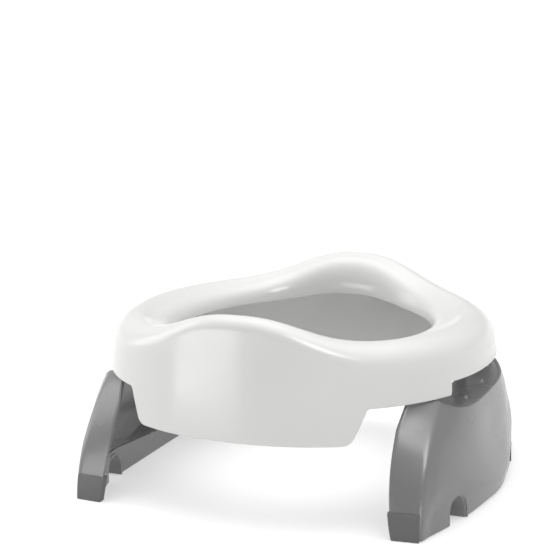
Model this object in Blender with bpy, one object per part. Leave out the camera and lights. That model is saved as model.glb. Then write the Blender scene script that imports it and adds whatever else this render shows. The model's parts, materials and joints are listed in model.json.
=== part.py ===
"""Folding travel potty: an oval saddle seat on two legs that hinge in under it or out flat beside it.

Units are metres. X runs from leg to leg, Y from the front hump to the rear hump, Z is up.
The origin is on the floor under the middle of the seat.
"""

import math

import bmesh
import bpy
from mathutils import Matrix, Vector

MM = 0.001

# Seat: two superellipse outlines, the outer rim and the hole, and the saddle between them.
RIM_HALF_X = 145 * MM
RIM_HALF_Y = 141 * MM
RIM_POWER = 2.1
HOLE_HALF_X = 98 * MM
HOLE_HALF_Y = 108 * MM
HOLE_POWER = 2.02
RIM_Z = 129 * MM
HUMP_RISE = 21 * MM
HUMP_HALF_WIDTH = 66 * MM
HUMP_POWER = 2.55
END_FADE = 0.4
RIM_ROLL = 20 * MM
HUMP_ROLL = 15 * MM
HOLE_ROLL = 15 * MM
INWARD_SLOPE = 0.36
HOLE_LIP_Z = 111.4 * MM
HOLE_LIP_RISE = 7 * MM
SKIRT_DRAFT = 0.07
SEAT_WALL = 2.8 * MM

# Lower edge of the skirt: deep front and rear panels, a shelf each side of them, raised ends.
DEEP_Z = 62 * MM
SHELF_Z = 87 * MM
END_Z = 97 * MM
DEEP_HALF_X = 79 * MM
SLANT_END_X = 89.5 * MM
STEP_X = 133 * MM
STEP_RUN = 0.8 * MM
CORNER_ROUND = 10 * MM

# Hinges: one axis at each end of the seat, along Y, with an ear of the leg between two brackets.
HINGE_X = 123 * MM
HINGE_Z = 102 * MM
EAR_Y = (41.4 * MM, 47.6 * MM)
INNER_BRACKET_Y = (38 * MM, 41 * MM)
OUTER_BRACKET_Y = (48 * MM, 51 * MM)
EAR_RADIUS = 8.5 * MM
BRACKET_RADIUS = 8 * MM
PIN_RADIUS = 2.5 * MM
PIN_CLEARANCE = 0.08 * MM
PIN_HEAD_RADIUS = 4.5 * MM
PIN_HEAD = 1.8 * MM
PIN_CAP = 2.2 * MM
PIN_CAP_END = 0.5 * MM
TOUCH_GAP = 0.3 * MM

# Legs: scooped shells, open towards the middle of the seat.
LEG_WALL = 2.8 * MM
LEG_MID_TOP_Z = 76 * MM
LEG_HORN_RISE = 9.6 * MM
LEG_SOLE_Z = 0.6 * MM
FOOT_HALF_Y = 128.5 * MM
FOOT_EDGE_HALF_Y = 130 * MM
CORNER_SWEEP = 7.3
EDGE_SWEEP = 5.1
CORNER_X = 133 * MM
CORNER_LEAN = 3.2 * MM
CORNER_SHARE = 0.88
CORNER_SOFTNESS = 0.3
PANEL_INSET = 0.975
EDGE_X = 113 * MM
EDGE_TUCK = 5.8 * MM
TUCK_Z = 60 * MM
EDGE_RETURN = 0.22
EDGE_RETURN_Z = 71 * MM
PANEL_POWERS = (2, 3.5)
PANEL_POWER_Z = (25 * MM, 75 * MM)
BULGE_PROFILE = (
    (0, 158.8),
    (12, 158.6),
    (25, 156.2),
    (35, 154),
    (50, 151.4),
    (65, 149.3),
    (76, 147),
    (86, 145.5),
)

# Foot of the leg: a curved inner wall, and two tunnels that pass under the foot from outside to inside.
FOOT_WALL_X = 130 * MM
FOOT_WALL_TURN_Y = 72 * MM
FOOT_WALL_PULL = 16 * MM
FOOT_WALL_END_Y = 119 * MM
FOOT_WALL_MID_Z = 13 * MM
FOOT_WALL_SIDE_Z = 23 * MM
FOOT_WALL = 2.2 * MM
TUNNEL_Y = 80 * MM
TUNNEL_RADIUS = 10.6 * MM
TUNNEL_CENTRE_Z = 7.8 * MM
SLEEVE_WALL = 2 * MM
SLEEVE_START_X = 126.5 * MM
SLEEVE_PROUD = 1.5 * MM
SLEEVE_SUNK = 1 * MM

# Arms that carry the ears, standing on the leg's top wall.
ARM_X = (110 * MM, 117 * MM)
ARM_SHOULDER = 3.5 * MM
TOP_WALL_INNER_X = 114.6 * MM
TOP_WALL_SHARE = 0.985
TOP_WALL_SPREAD = 1.02

# Rubber caps on the toes and bumper studs on the top wall.
CAP_TOP_Z = 19 * MM
CAP_SKIN = 1.6 * MM
CAP_SHARES = (-0.08, 0.96)
CAP_FLAP_SHARE = 0.8
CAP_SLOT_START = -0.02
PAST_CORNER = 1.3
CUT_MARGIN = 1 * MM
STUD_RADIUS = 1.2 * MM
STUD_HEIGHT = 1 * MM
STUD_RIM = 0.4 * MM
STUD_Y = (63 * MM, 24 * MM)
STUD_INSET = 11 * MM

SIDES = {"left": -1, "right": 1}
ENDS = {"front": -1, "rear": 1}


def clear_scene():
    for obj in list(bpy.data.objects):
        bpy.data.objects.remove(obj, do_unlink=True)


def make_material(name, colour, roughness, metallic=0.0):
    material = bpy.data.materials.new(name)
    material.use_nodes = True
    shader = material.node_tree.nodes["Principled BSDF"]
    shader.inputs["Base Color"].default_value = (*colour, 1)
    shader.inputs["Roughness"].default_value = roughness
    shader.inputs["Metallic"].default_value = metallic
    return material


def make_object(name, points, faces, material=None):
    """A mesh object whose faces are turned to point outwards."""
    mesh = bpy.data.meshes.new(name)
    mesh.from_pydata([tuple(point) for point in points], [], faces)
    shape = bmesh.new()
    shape.from_mesh(mesh)
    bmesh.ops.recalc_face_normals(shape, faces=shape.faces)
    shape.to_mesh(mesh)
    shape.free()
    obj = bpy.data.objects.new(name, mesh)
    bpy.context.scene.collection.objects.link(obj)
    if material:
        mesh.materials.append(material)
    return obj


def apply_modifiers(obj):
    """Replaces the object's mesh by its evaluated shape."""
    graph = bpy.context.evaluated_depsgraph_get()
    shaped = bpy.data.meshes.new_from_object(obj.evaluated_get(graph))
    obj.modifiers.clear()
    obj.data = shaped


def combine(obj, others, operation):
    """Joins or cuts the object with each of the others in turn, and removes them."""
    for other in others:
        modifier = obj.modifiers.new(operation.title(), "BOOLEAN")
        modifier.object = other
        modifier.operation = operation
        modifier.solver = "EXACT"
        apply_modifiers(obj)
        bpy.data.objects.remove(other, do_unlink=True)


def smooth(obj, angle_deg=35):
    obj.data.shade_smooth()
    obj.data.set_sharp_from_angle(angle=math.radians(angle_deg))


def mirrored(obj, name):
    """A copy of the object on the other side of the YZ plane."""
    shape = bmesh.new()
    shape.from_mesh(obj.data)
    shape.transform(Matrix.Scale(-1, 4, Vector((1, 0, 0))))
    bmesh.ops.reverse_faces(shape, faces=shape.faces)
    mesh = bpy.data.meshes.new(name)
    shape.to_mesh(mesh)
    shape.free()
    for material in obj.data.materials:
        mesh.materials.append(material)
    copy = bpy.data.objects.new(name, mesh)
    bpy.context.scene.collection.objects.link(copy)
    return copy


def sheet_normals(rows, wraps):
    """Unit normals of a grid of points, along row direction x column direction."""
    last = len(rows) - 1
    count = len(rows[0])
    normals = []
    for i, row in enumerate(rows):
        line = []
        for j in range(count):
            across = rows[min(i + 1, last)][j] - rows[max(i - 1, 0)][j]
            if wraps:
                along = row[(j + 1) % count] - row[j - 1]
            else:
                along = row[min(j + 1, count - 1)] - row[max(j - 1, 0)]
            line.append(across.cross(along).normalized())
        normals.append(line)
    return normals


def offset_sheet(rows, distance, wraps=False):
    normals = sheet_normals(rows, wraps)
    return [
        [point + normal * distance for point, normal in zip(row, line)]
        for row, line in zip(rows, normals)
    ]


def slab(name, first, second, material=None, wraps=False):
    """The closed solid between two grids of points that have the same rows and columns."""
    height = len(first)
    width = len(first[0])
    points = [point for grid in (first, second) for row in grid for point in row]
    shift = height * width
    faces = []
    for i in range(height - 1):
        for j in range(width if wraps else width - 1):
            k = (j + 1) % width
            quad = [i * width + j, i * width + k, (i + 1) * width + k, (i + 1) * width + j]
            faces.append(quad)
            faces.append([shift + corner for corner in reversed(quad)])
    for i in (0, height - 1):
        for j in range(width if wraps else width - 1):
            a = i * width + j
            b = i * width + (j + 1) % width
            faces.append([a, b, shift + b, shift + a])
    if not wraps:
        for j in (0, width - 1):
            for i in range(height - 1):
                a = i * width + j
                b = (i + 1) * width + j
                faces.append([a, b, shift + b, shift + a])
    return make_object(name, points, faces, material)


def prism(name, outline, axis, low, high, material=None):
    """Extrudes a flat outline along an axis. An outline point is (x, z) for axis Y, (y, z) for axis X."""
    rows = []
    for depth in (low, high):
        if axis == "Y":
            rows.append([Vector((x, depth, z)) for x, z in outline])
        else:
            rows.append([Vector((depth, y, z)) for y, z in outline])
    count = len(outline)
    faces = [[j, (j + 1) % count, count + (j + 1) % count, count + j] for j in range(count)]
    faces.append(list(range(count)))
    faces.append(list(range(count, 2 * count)))
    return make_object(name, rows[0] + rows[1], faces, material)


def arc(centre, radius, start_deg, end_deg, steps):
    """Points along an arc, as (first, second) coordinates."""
    points = []
    for step in range(steps + 1):
        angle = math.radians(start_deg + (end_deg - start_deg) * step / steps)
        points.append((centre[0] + radius * math.cos(angle), centre[1] + radius * math.sin(angle)))
    return points


def superellipse(angle, half_x, half_y, power):
    cosine = math.cos(angle)
    sine = math.sin(angle)
    x = half_x * math.copysign(abs(cosine) ** (2 / power), cosine)
    y = half_y * math.copysign(abs(sine) ** (2 / power), sine)
    return Vector((x, y, 0))


def rim_x(y):
    """Where the rim's outline is, at a distance y from the middle."""
    return RIM_HALF_X * (1 - abs(y / RIM_HALF_Y) ** RIM_POWER) ** (1 / RIM_POWER)


def seat_profile(angle):
    """Points of the outer surface at one angle, from the skirt's lower edge up and over to the hole."""
    outer = superellipse(angle, RIM_HALF_X, RIM_HALF_Y, RIM_POWER)
    hole = superellipse(angle, HOLE_HALF_X, HOLE_HALF_Y, HOLE_POWER)
    inward = (hole - outer).normalized()
    width = (hole - outer).length
    end_fade = min(abs(outer.y) / (END_FADE * RIM_HALF_Y), 1)
    hump = math.exp(-abs(outer.x / HUMP_HALF_WIDTH) ** HUMP_POWER) * end_fade
    crest_z = RIM_Z + HUMP_RISE * hump
    outer_roll = min(RIM_ROLL + (HUMP_ROLL - RIM_ROLL) * hump, width / 2)
    hole_roll = min(HOLE_ROLL, width / 2 - 0.1 * MM)
    flat = width - outer_roll - hole_roll
    inner_z = crest_z - INWARD_SLOPE * flat
    lip_z = HOLE_LIP_Z + HOLE_LIP_RISE * hump
    points = []
    for z in (DEEP_Z, SHELF_Z, END_Z):
        flare = 1 + SKIRT_DRAFT * (RIM_Z - z) / RIM_HALF_X
        points.append(outer * flare + Vector((0, 0, z)))
    for step in range(6):
        turn = math.pi / 2 * step / 5
        run = outer_roll * (1 - math.cos(turn))
        points.append(outer + inward * run + Vector((0, 0, crest_z - outer_roll * (1 - math.sin(turn)))))
    run = outer_roll + flat / 2
    points.append(outer + inward * run + Vector((0, 0, (crest_z + inner_z) / 2)))
    for step in range(6):
        turn = math.pi / 2 * step / 5
        run = width - hole_roll * (1 - math.sin(turn))
        z = lip_z + (inner_z - lip_z) * math.cos(turn)
        points.append(outer + inward * run + Vector((0, 0, z)))
    return points


def skirt_cutter(side):
    """What is cut off the skirt beyond the deep panel on one side, with the shelf and the step."""
    slant = Vector((SLANT_END_X - DEEP_HALF_X, SHELF_Z - DEEP_Z)).normalized()
    tangent = CORNER_ROUND * math.tan(math.acos(slant.x) / 2)
    floor_end = DEEP_HALF_X - tangent
    centre = (floor_end, DEEP_Z + CORNER_ROUND)
    slant_deg = math.degrees(math.acos(slant.x))
    below = DEEP_Z - 20 * MM
    beyond = RIM_HALF_X + 40 * MM
    outline = [(floor_end, below)]
    outline += arc(centre, CORNER_ROUND, -90, slant_deg - 90, 5)
    outline += [(SLANT_END_X, SHELF_Z), (STEP_X, SHELF_Z), (STEP_X + STEP_RUN, END_Z), (beyond, END_Z)]
    outline.append((beyond, below))
    outline = [(side * x, z) for x, z in outline]
    return prism("skirt_cutter", outline, "Y", -200 * MM, 200 * MM)


def bracket(y_range, side, end):
    """One moulded ear of the seat, which follows the rolled rim above it."""
    middle_y = sum(y_range) / 2
    roll_centre = (rim_x(middle_y) - RIM_ROLL, RIM_Z - RIM_ROLL)
    outline = arc((HINGE_X, HINGE_Z), BRACKET_RADIUS, 180, 360, 14)
    outline += arc(roll_centre, RIM_ROLL - SEAT_WALL / 2, 0, 90, 8)
    outline.append((HINGE_X - BRACKET_RADIUS, RIM_Z - SEAT_WALL / 2))
    outline = [(side * x, z) for x, z in outline]
    low, high = sorted(end * y for y in y_range)
    return prism("bracket", outline, "Y", low, high)


def rod(name, y_low, y_high, radius, side, material=None, count=32):
    """A round bar along Y on the hinge axis of one side."""
    outline = arc((side * HINGE_X, HINGE_Z), radius, 0, 360 - 360 / count, count - 1)
    return prism(name, outline, "Y", y_low, y_high, material)


def make_seat(material):
    count = 88
    profiles = [seat_profile(2 * math.pi * step / count) for step in range(count)]
    rows = [list(row) for row in zip(*profiles)]
    inner = offset_sheet(rows, SEAT_WALL, wraps=True)
    seat = slab("seat_shell", rows, inner, material, wraps=True)
    combine(seat, [skirt_cutter(side) for side in SIDES.values()], "DIFFERENCE")
    brackets = [
        bracket(y_range, side, end)
        for side in SIDES.values()
        for end in ENDS.values()
        for y_range in (INNER_BRACKET_Y, OUTER_BRACKET_Y)
    ]
    combine(seat, brackets, "UNION")
    hole_radius = PIN_RADIUS + PIN_CLEARANCE
    reach = OUTER_BRACKET_Y[1] + 1 * MM
    for side in SIDES.values():
        for end in ENDS.values():
            low, high = sorted((end * (INNER_BRACKET_Y[0] - 1 * MM), end * reach))
            combine(seat, [rod("bore", low, high, hole_radius, side)], "DIFFERENCE")
    smooth(seat)
    return seat


def interpolate(table, value):
    """Straight-line interpolation in a table of (place, value) pairs, both in millimetres."""
    value = value / MM
    for (low, first), (high, second) in zip(table, table[1:]):
        if value <= high:
            share = (value - low) / (high - low)
            return (first + (second - first) * share) * MM
    return table[-1][1] * MM


def leg_top_z(across):
    """Height of the leg's top edge; across runs from -1 at the front corner to 1 at the rear one."""
    return LEG_MID_TOP_Z + LEG_HORN_RISE * min(abs(across), 1) ** 4


def corner_half_y(z):
    return FOOT_HALF_Y - CORNER_SWEEP * z * z


def edge_half_y(z):
    return FOOT_EDGE_HALF_Y - EDGE_SWEEP * z * z


def corner_x(z):
    return CORNER_X - CORNER_LEAN * (z / SHELF_Z) ** 2


def edge_x(z):
    climb = 1 - min(z / TUCK_Z, 1)
    return EDGE_X - EDGE_TUCK * (1 - climb**2) + EDGE_RETURN * max(z - EDGE_RETURN_Z, 0)


def panel_point(across, z):
    """A point of the leg's bulged outer panel."""
    middle = interpolate(BULGE_PROFILE, z)
    low, high = PANEL_POWER_Z
    share = min(max((z - low) / (high - low), 0), 1)
    power = PANEL_POWERS[0] + (PANEL_POWERS[1] - PANEL_POWERS[0]) * share
    x = middle - (middle - corner_x(z)) * abs(across) ** power
    return Vector((x, across * corner_half_y(z), z))


def side_point(end, share, z, outward=0.0):
    """A point of the leg's front or rear side panel, from its inner edge (0) to its corner (1)."""
    start = Vector((edge_x(z), end * edge_half_y(z), z))
    stop = panel_point(end, z)
    normal = Vector((stop.y - start.y, start.x - stop.x, 0)).normalized() * -end
    return start + (stop - start) * share + normal * outward


def leg_section(share_up):
    """One row of the leg's outer surface, from the front inner edge round to the rear inner edge."""
    low = LEG_SOLE_Z
    horn = low + (leg_top_z(1) - low) * share_up
    row = [side_point(-1, CORNER_SHARE * step / 3, horn) for step in range(4)]
    corner = panel_point(-1, horn)
    beyond = panel_point(-PANEL_INSET, horn)
    row.append(corner + (row[-1] + beyond - 2 * corner) * CORNER_SOFTNESS)
    steps = 18
    for step in range(steps + 1):
        across = PANEL_INSET * (2 * step / steps - 1)
        z = low + (leg_top_z(across) - low) * share_up
        row.append(panel_point(across, z))
    front_half = row[:5]
    row += [Vector((point.x, -point.y, point.z)) for point in reversed(front_half)]
    return row


def u_outline(radius, low_z):
    """A tunnel's outline in the YZ plane: straight sides and a round top."""
    outline = arc((TUNNEL_Y, TUNNEL_CENTRE_Z), radius, 0, 180, 14)
    return [(TUNNEL_Y + radius, low_z)] + outline + [(TUNNEL_Y - radius, low_z)]


def at_end(outline, end):
    return [(end * y, z) for y, z in outline]


def foot_wall():
    """The curved wall on the inner side of the foot."""
    steps = 24
    rows = [[], []]
    inner_rows = [[], []]
    for step in range(steps + 1):
        y = FOOT_WALL_END_Y * (2 * step / steps - 1)
        past = max(abs(y) - FOOT_WALL_TURN_Y, 0) / (FOOT_WALL_END_Y - FOOT_WALL_TURN_Y)
        x = FOOT_WALL_X - FOOT_WALL_PULL * past**2
        rise = min(abs(y) / FOOT_WALL_TURN_Y, 1)
        top = FOOT_WALL_MID_Z + (FOOT_WALL_SIDE_Z - FOOT_WALL_MID_Z) * rise
        for row, z in zip(rows, (LEG_SOLE_Z, top)):
            row.append(Vector((x, y, z)))
        for row, z in zip(inner_rows, (LEG_SOLE_Z, top)):
            row.append(Vector((x - FOOT_WALL, y, z)))
    return slab("foot_wall", rows, inner_rows)


def top_wall():
    """The scooped wall that closes the leg under the seat's end."""
    steps = 18
    top = [[], []]
    for step in range(steps + 1):
        across = TOP_WALL_SHARE * (2 * step / steps - 1)
        z = leg_top_z(across)
        lip = panel_point(across, z)
        lip.x -= LEG_WALL / 2
        top[0].append(Vector((TOP_WALL_INNER_X, lip.y * TOP_WALL_SPREAD, z)))
        top[1].append(lip)
    under = [[point - Vector((0, 0, LEG_WALL)) for point in row] for row in top]
    return slab("top_wall", top, under)


def sleeve(end):
    """The wall round a tunnel. It stands proud of the panel only on the side towards the leg's middle."""
    grids = []
    for radius in (TUNNEL_RADIUS + SLEEVE_WALL, TUNNEL_RADIUS - SLEEVE_WALL):
        outline = u_outline(radius, LEG_SOLE_Z)
        start = [Vector((SLEEVE_START_X, end * y, z)) for y, z in outline]
        stop = []
        for y, z in outline:
            inner_side = min(max((TUNNEL_Y - y) / TUNNEL_RADIUS, 0), 1)
            proud = (SLEEVE_PROUD + SLEEVE_SUNK) * inner_side - SLEEVE_SUNK
            stop.append(panel_point(end * y / corner_half_y(z), z) + Vector((proud, 0, 0)))
        grids.append([start, stop])
    return slab("sleeve", *grids)


def arm(end):
    """An arm up from the top wall and the ear that turns on the hinge pin."""
    foot_z = leg_top_z(EAR_Y[0] / corner_half_y(LEG_MID_TOP_Z)) - 2 * MM
    outline = [(ARM_X[1], foot_z)]
    outline += arc((HINGE_X, HINGE_Z), EAR_RADIUS, -125, 90, 18)
    outline.append((ARM_X[0] + ARM_SHOULDER, HINGE_Z + EAR_RADIUS - ARM_SHOULDER))
    outline += [(ARM_X[0], HINGE_Z), (ARM_X[0], foot_z)]
    low, high = sorted(end * y for y in EAR_Y)
    return prism("arm", outline, "Y", low, high)


def stud_place(side, end, y):
    """Where a bumper stud stands on the top wall, level with the wall's higher side."""
    half_y = corner_half_y(LEG_MID_TOP_Z)
    lip = panel_point(y / half_y, leg_top_z(y / half_y))
    base_z = leg_top_z((y + 2 * STUD_RADIUS) / half_y)
    return Vector((side * (lip.x - STUD_INSET), end * y, base_z))


def make_right_leg(material):
    rows = 12
    outer = [leg_section(row / (rows - 1)) for row in range(rows)]
    inner = offset_sheet(outer, LEG_WALL)
    for row in (0, rows - 1):
        for point, outside in zip(inner[row], outer[row]):
            point.z = outside.z
    leg = slab("right_leg", outer, inner, material)
    inside_parts = [part(end) for part in (sleeve, arm) for end in ENDS.values()]
    combine(leg, [top_wall(), foot_wall()] + inside_parts, "UNION")
    tunnels = [
        prism("tunnel", at_end(u_outline(TUNNEL_RADIUS, -5 * MM), end), "X", 100 * MM, 180 * MM)
        for end in ENDS.values()
    ]
    bores = []
    for end in ENDS.values():
        low, high = sorted((end * (EAR_Y[0] - 1 * MM), end * (EAR_Y[1] + 1 * MM)))
        bores.append(rod("bore", low, high, PIN_RADIUS + PIN_CLEARANCE, 1))
    combine(leg, tunnels + bores, "DIFFERENCE")
    smooth(leg)
    return leg


def side_strip(name, end, skin, depth, low_z, high_z, ends, material=None):
    """A strip that follows a side panel: skin outside it, depth inside it, from low_z to high_z."""
    levels = [low_z + (high_z - low_z) * step / 4 for step in range(5)]
    shares = [ends[0] + (ends[1] - ends[0]) * step / 4 for step in range(5)]
    outer = [[side_point(end, share, z, skin) for share in shares] for z in levels]
    inner = [[side_point(end, share, z, -depth) for share in shares] for z in levels]
    return slab(name, outer, inner, material)


def make_foot_cap(end, material):
    """A rubber shoe that slips over the toe of a side panel."""
    name = "right_" + {-1: "front", 1: "rear"}[end] + "_foot_cap"
    slot = TOUCH_GAP
    depth = LEG_WALL + CAP_SKIN + slot
    above = CAP_TOP_Z + CUT_MARGIN
    cap = side_strip(name, end, CAP_SKIN, depth, 0, CAP_TOP_Z, CAP_SHARES, material)
    in_slot = (CAP_SLOT_START, PAST_CORNER)
    past_shares = (CAP_FLAP_SHARE, PAST_CORNER)
    panel_slot = side_strip("slot", end, slot, LEG_WALL + slot, LEG_SOLE_Z - slot, above, in_slot)
    past_flap = side_strip("past_flap", end, slot, depth + CUT_MARGIN, -CUT_MARGIN, above, past_shares)
    combine(cap, [panel_slot, past_flap], "DIFFERENCE")
    smooth(cap)
    return cap


def make_stud(side, end, y, index, side_name, material):
    """A small bumper with a domed head, standing just off the top wall."""
    place = stud_place(side, end, y)
    end_name = {-1: "front", 1: "rear"}[end]
    rings = 5
    segments = 16
    base_z = place.z + TOUCH_GAP
    points = []
    for ring in range(rings):
        turn = math.pi / 2 * ring / rings
        radius = STUD_RADIUS * math.cos(turn)
        z = base_z + STUD_RIM + (STUD_HEIGHT - STUD_RIM) * math.sin(turn)
        for x, y_place in arc((place.x, place.y), radius, 0, 360 - 360 / segments, segments - 1):
            points.append(Vector((x, y_place, z)))
    for x, y_place in arc((place.x, place.y), STUD_RADIUS, 0, 360 - 360 / segments, segments - 1):
        points.append(Vector((x, y_place, base_z)))
    peak = len(points)
    points.append(Vector((place.x, place.y, base_z + STUD_HEIGHT)))
    faces = []
    for ring in range(rings - 1):
        low = ring * segments
        high = low + segments
        for j in range(segments):
            k = (j + 1) % segments
            faces.append([low + j, low + k, high + k, high + j])
    top = (rings - 1) * segments
    base = rings * segments
    for j in range(segments):
        k = (j + 1) % segments
        faces.append([top + j, top + k, peak])
        faces.append([j, k, base + k, base + j])
    faces.append([base + j for j in range(segments)])
    stud = make_object(f"{side_name}_{end_name}_bumper_stud_{index}", points, faces, material)
    smooth(stud, 50)
    return stud


def make_pin(side_name, end_name, material):
    """A headed hinge pin, with its head towards the middle of the seat."""
    side = SIDES[side_name]
    end = ENDS[end_name]
    start = INNER_BRACKET_Y[0] - TOUCH_GAP
    stop = OUTER_BRACKET_Y[1] + TOUCH_GAP + PIN_CAP - PIN_CAP_END
    name = f"{side_name}_{end_name}_hinge_pin"
    into_head = PIN_HEAD / 3
    pin = rod(name, *sorted((end * (start - into_head), end * stop)), PIN_RADIUS, side, material, 24)
    head = rod("head", *sorted((end * (start - PIN_HEAD), end * start)), PIN_HEAD_RADIUS, side, None, 24)
    combine(pin, [head], "UNION")
    smooth(pin)
    return pin


def make_pin_cap(side_name, end_name, material):
    """A push-on cap that keeps the hinge pin in."""
    side = SIDES[side_name]
    end = ENDS[end_name]
    start = OUTER_BRACKET_Y[1] + TOUCH_GAP
    name = f"{side_name}_{end_name}_pin_cap"
    cap = rod(name, *sorted((end * start, end * (start + PIN_CAP))), PIN_HEAD_RADIUS, side, material, 24)
    bore_stop = start + PIN_CAP - PIN_CAP_END + TOUCH_GAP
    low, high = sorted((end * (start - 1 * MM), end * bore_stop))
    bore = rod("bore", low, high, PIN_RADIUS + TOUCH_GAP, side, None, 24)
    combine(cap, [bore], "DIFFERENCE")
    smooth(cap)
    return cap


def hang_on(pieces, name, place):
    """Parents pieces to an empty on their joint's axis, without moving them."""
    empty = bpy.data.objects.new(name, None)
    empty.location = place
    bpy.context.scene.collection.objects.link(empty)
    bpy.context.view_layer.update()
    for piece in pieces:
        piece.parent = empty
        piece.matrix_parent_inverse = empty.matrix_world.inverted()


def main():
    clear_scene()
    white = make_material("white_plastic", (0.86, 0.86, 0.85), 0.22)
    grey = make_material("grey_plastic", (0.25, 0.25, 0.26), 0.3)
    rubber = make_material("dark_rubber", (0.12, 0.12, 0.125), 0.6)
    steel = make_material("pin_steel", (0.6, 0.6, 0.6), 0.3, 1.0)
    pale = make_material("pale_rubber", (0.6, 0.6, 0.6), 0.5)
    make_seat(white)
    on_leg = {"right": [make_right_leg(grey)] + [make_foot_cap(end, rubber) for end in ENDS.values()]}
    on_leg["left"] = [mirrored(obj, obj.name.replace("right", "left")) for obj in on_leg["right"]]
    for piece in on_leg["left"]:
        smooth(piece)
    for side_name, side in SIDES.items():
        for end_name, end in ENDS.items():
            make_pin(side_name, end_name, steel)
            make_pin_cap(side_name, end_name, grey)
            for index, y in enumerate(STUD_Y, 1):
                on_leg[side_name].append(make_stud(side, end, y, index, side_name, pale))
        hang_on(on_leg[side_name], f"{side_name}_leg_hinge", (side * HINGE_X, 0, HINGE_Z))


main()
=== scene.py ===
"""Looks of a folding travel potty: an oval saddle seat on two scooped legs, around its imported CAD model.

Units are metres, in the CAD frame: X runs from leg to leg, Y from the front hump to the rear one, Z is up.
"""

import json
import math

import bmesh
import bpy
import numpy as np
from mathutils import Matrix, Vector


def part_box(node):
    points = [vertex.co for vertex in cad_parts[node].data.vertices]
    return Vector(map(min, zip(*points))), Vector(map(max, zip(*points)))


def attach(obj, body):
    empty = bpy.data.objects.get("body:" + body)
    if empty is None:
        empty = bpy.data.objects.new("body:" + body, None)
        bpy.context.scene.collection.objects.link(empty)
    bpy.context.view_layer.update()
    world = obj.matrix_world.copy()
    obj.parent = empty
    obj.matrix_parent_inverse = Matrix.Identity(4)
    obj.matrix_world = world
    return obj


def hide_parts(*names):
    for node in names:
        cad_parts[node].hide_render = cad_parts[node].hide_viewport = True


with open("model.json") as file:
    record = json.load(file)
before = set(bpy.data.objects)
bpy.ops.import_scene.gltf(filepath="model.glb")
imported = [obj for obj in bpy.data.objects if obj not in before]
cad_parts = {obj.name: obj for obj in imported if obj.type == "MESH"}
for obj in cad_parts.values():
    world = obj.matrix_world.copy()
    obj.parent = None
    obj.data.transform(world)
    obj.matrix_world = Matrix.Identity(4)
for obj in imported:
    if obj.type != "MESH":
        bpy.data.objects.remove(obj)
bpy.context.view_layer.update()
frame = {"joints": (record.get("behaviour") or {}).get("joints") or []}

MM = 0.001

# Places taken from the CAD model.
SEAT_LOW, SEAT_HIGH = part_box("seat_shell")
HINGE = next(Vector(joint["pos_m"]) for joint in frame["joints"] if joint["name"] == "right_leg_fold")
HUMP_TOP_Z = SEAT_HIGH.z
DEEP_Z = SEAT_LOW.z

# Seat: the rim's outline, the hole's outline and the saddle between them.
RIM_HALF_X = 145 * MM
RIM_HALF_Y = 141 * MM
RIM_POWER = 2.1
HOLE_HALF_X = 98 * MM
HOLE_HALF_Y = 108 * MM
HOLE_POWER = 2.02
HUMP_RISE = 21 * MM
RIM_Z = HUMP_TOP_Z - HUMP_RISE
HUMP_HALF_WIDTH = 66 * MM
HUMP_POWER = 2.55
RIM_ROLL = 20 * MM
HUMP_ROLL = 11 * MM
HOLE_ROLL = 15 * MM
INWARD_SLOPE = 0.36
HOLE_LIP_Z = 111.4 * MM
HOLE_LIP_RISE = 7 * MM
SKIRT_DRAFT = 0.07
HUMP_END_FADE = 0.4
SEAT_WALL = 2.8 * MM
EDGE_ROUND = 0.9 * MM
BEAD = 0.9 * MM
BEAD_HEIGHT = 2.6 * MM
BEAD_FADE = 1.4 * MM
BEAD_START = 1 * MM
BEAD_RUN_IN = 3 * MM
NEAR_EDGE = np.array([0, 0.4, 0.8, 1.3, 1.9, 2.6, 3.6]) * MM
SKIRT_ROWS = 18
ROLL_ROWS = 15
SADDLE_ROWS = 10
LIP_ROWS = 13
SOFTENING_PASSES = 5

# Lower edge of the skirt.
SHELF_Z = 87 * MM
END_Z = 97 * MM
DEEP_HALF_X = 79 * MM
SLANT_END_X = 89.5 * MM
STEP_X = 133 * MM
STEP_RUN = 0.8 * MM
DEEP_CORNER = 9 * MM
SHELF_CORNER = 4 * MM
STEP_CORNER = 0.9 * MM
END_CORNER = 1.8 * MM
# How far along the crest the mesh columns stand from the corners of the lower edge below them.
DEEP_CREST = -3 * MM
SLANT_CREST = 5 * MM
STEP_CREST = -13 * MM
END_CREST = 1 * MM
EDGE_SPACING = 3 * MM

# Hinge ears.
EAR_Y = (41.4 * MM, 47.6 * MM)
BRACKETS_Y = ((38 * MM, 41 * MM), (48 * MM, 51 * MM))
EAR_RADIUS = 8.5 * MM
BRACKET_RADIUS = 8 * MM
PIN_RADIUS = 2.5 * MM
PIN_HEAD_RADIUS = 4.5 * MM
PIN_HEAD = 1.8 * MM
PIN_CAP = 2.2 * MM
PIN_CAP_END = 0.5 * MM
PIN_CHAMFER = 0.3 * MM
TOUCH_GAP = 0.3 * MM
CUT_MARGIN = 1 * MM

# Legs.
LEG_WALL = 2.8 * MM
LEG_MID_TOP_Z = 76 * MM
LEG_HORN_RISE = 10.5 * MM
LEG_SOLE_Z = 0.6 * MM
LEG_ROWS = 64
SIDE_COLUMNS = 12
PANEL_COLUMNS = 130
BEND_COLUMNS = 9
FOOT_HALF_Y = 128.5 * MM
FOOT_EDGE_HALF_Y = 130 * MM
CORNER_SWEEP = 7.3
EDGE_SWEEP = 5.1
CORNER_X = 133 * MM
CORNER_LEAN = 3.2 * MM
CORNER_BEND = 3.4 * MM
EDGE_X = 113 * MM
EDGE_TUCK = 5.8 * MM
TUCK_Z = 60 * MM
EDGE_RETURN = 0.22
EDGE_RETURN_Z = 71 * MM
PANEL_POWERS = (2, 3.5)
PANEL_POWER_Z = (25 * MM, 75 * MM)
BULGE_Z = np.array([0, 12, 25, 35, 50, 65, 76, 86]) * MM
BULGE_X = np.array([157.2, 156.9, 155, 153, 150.8, 149.2, 147, 145.5]) * MM
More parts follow.
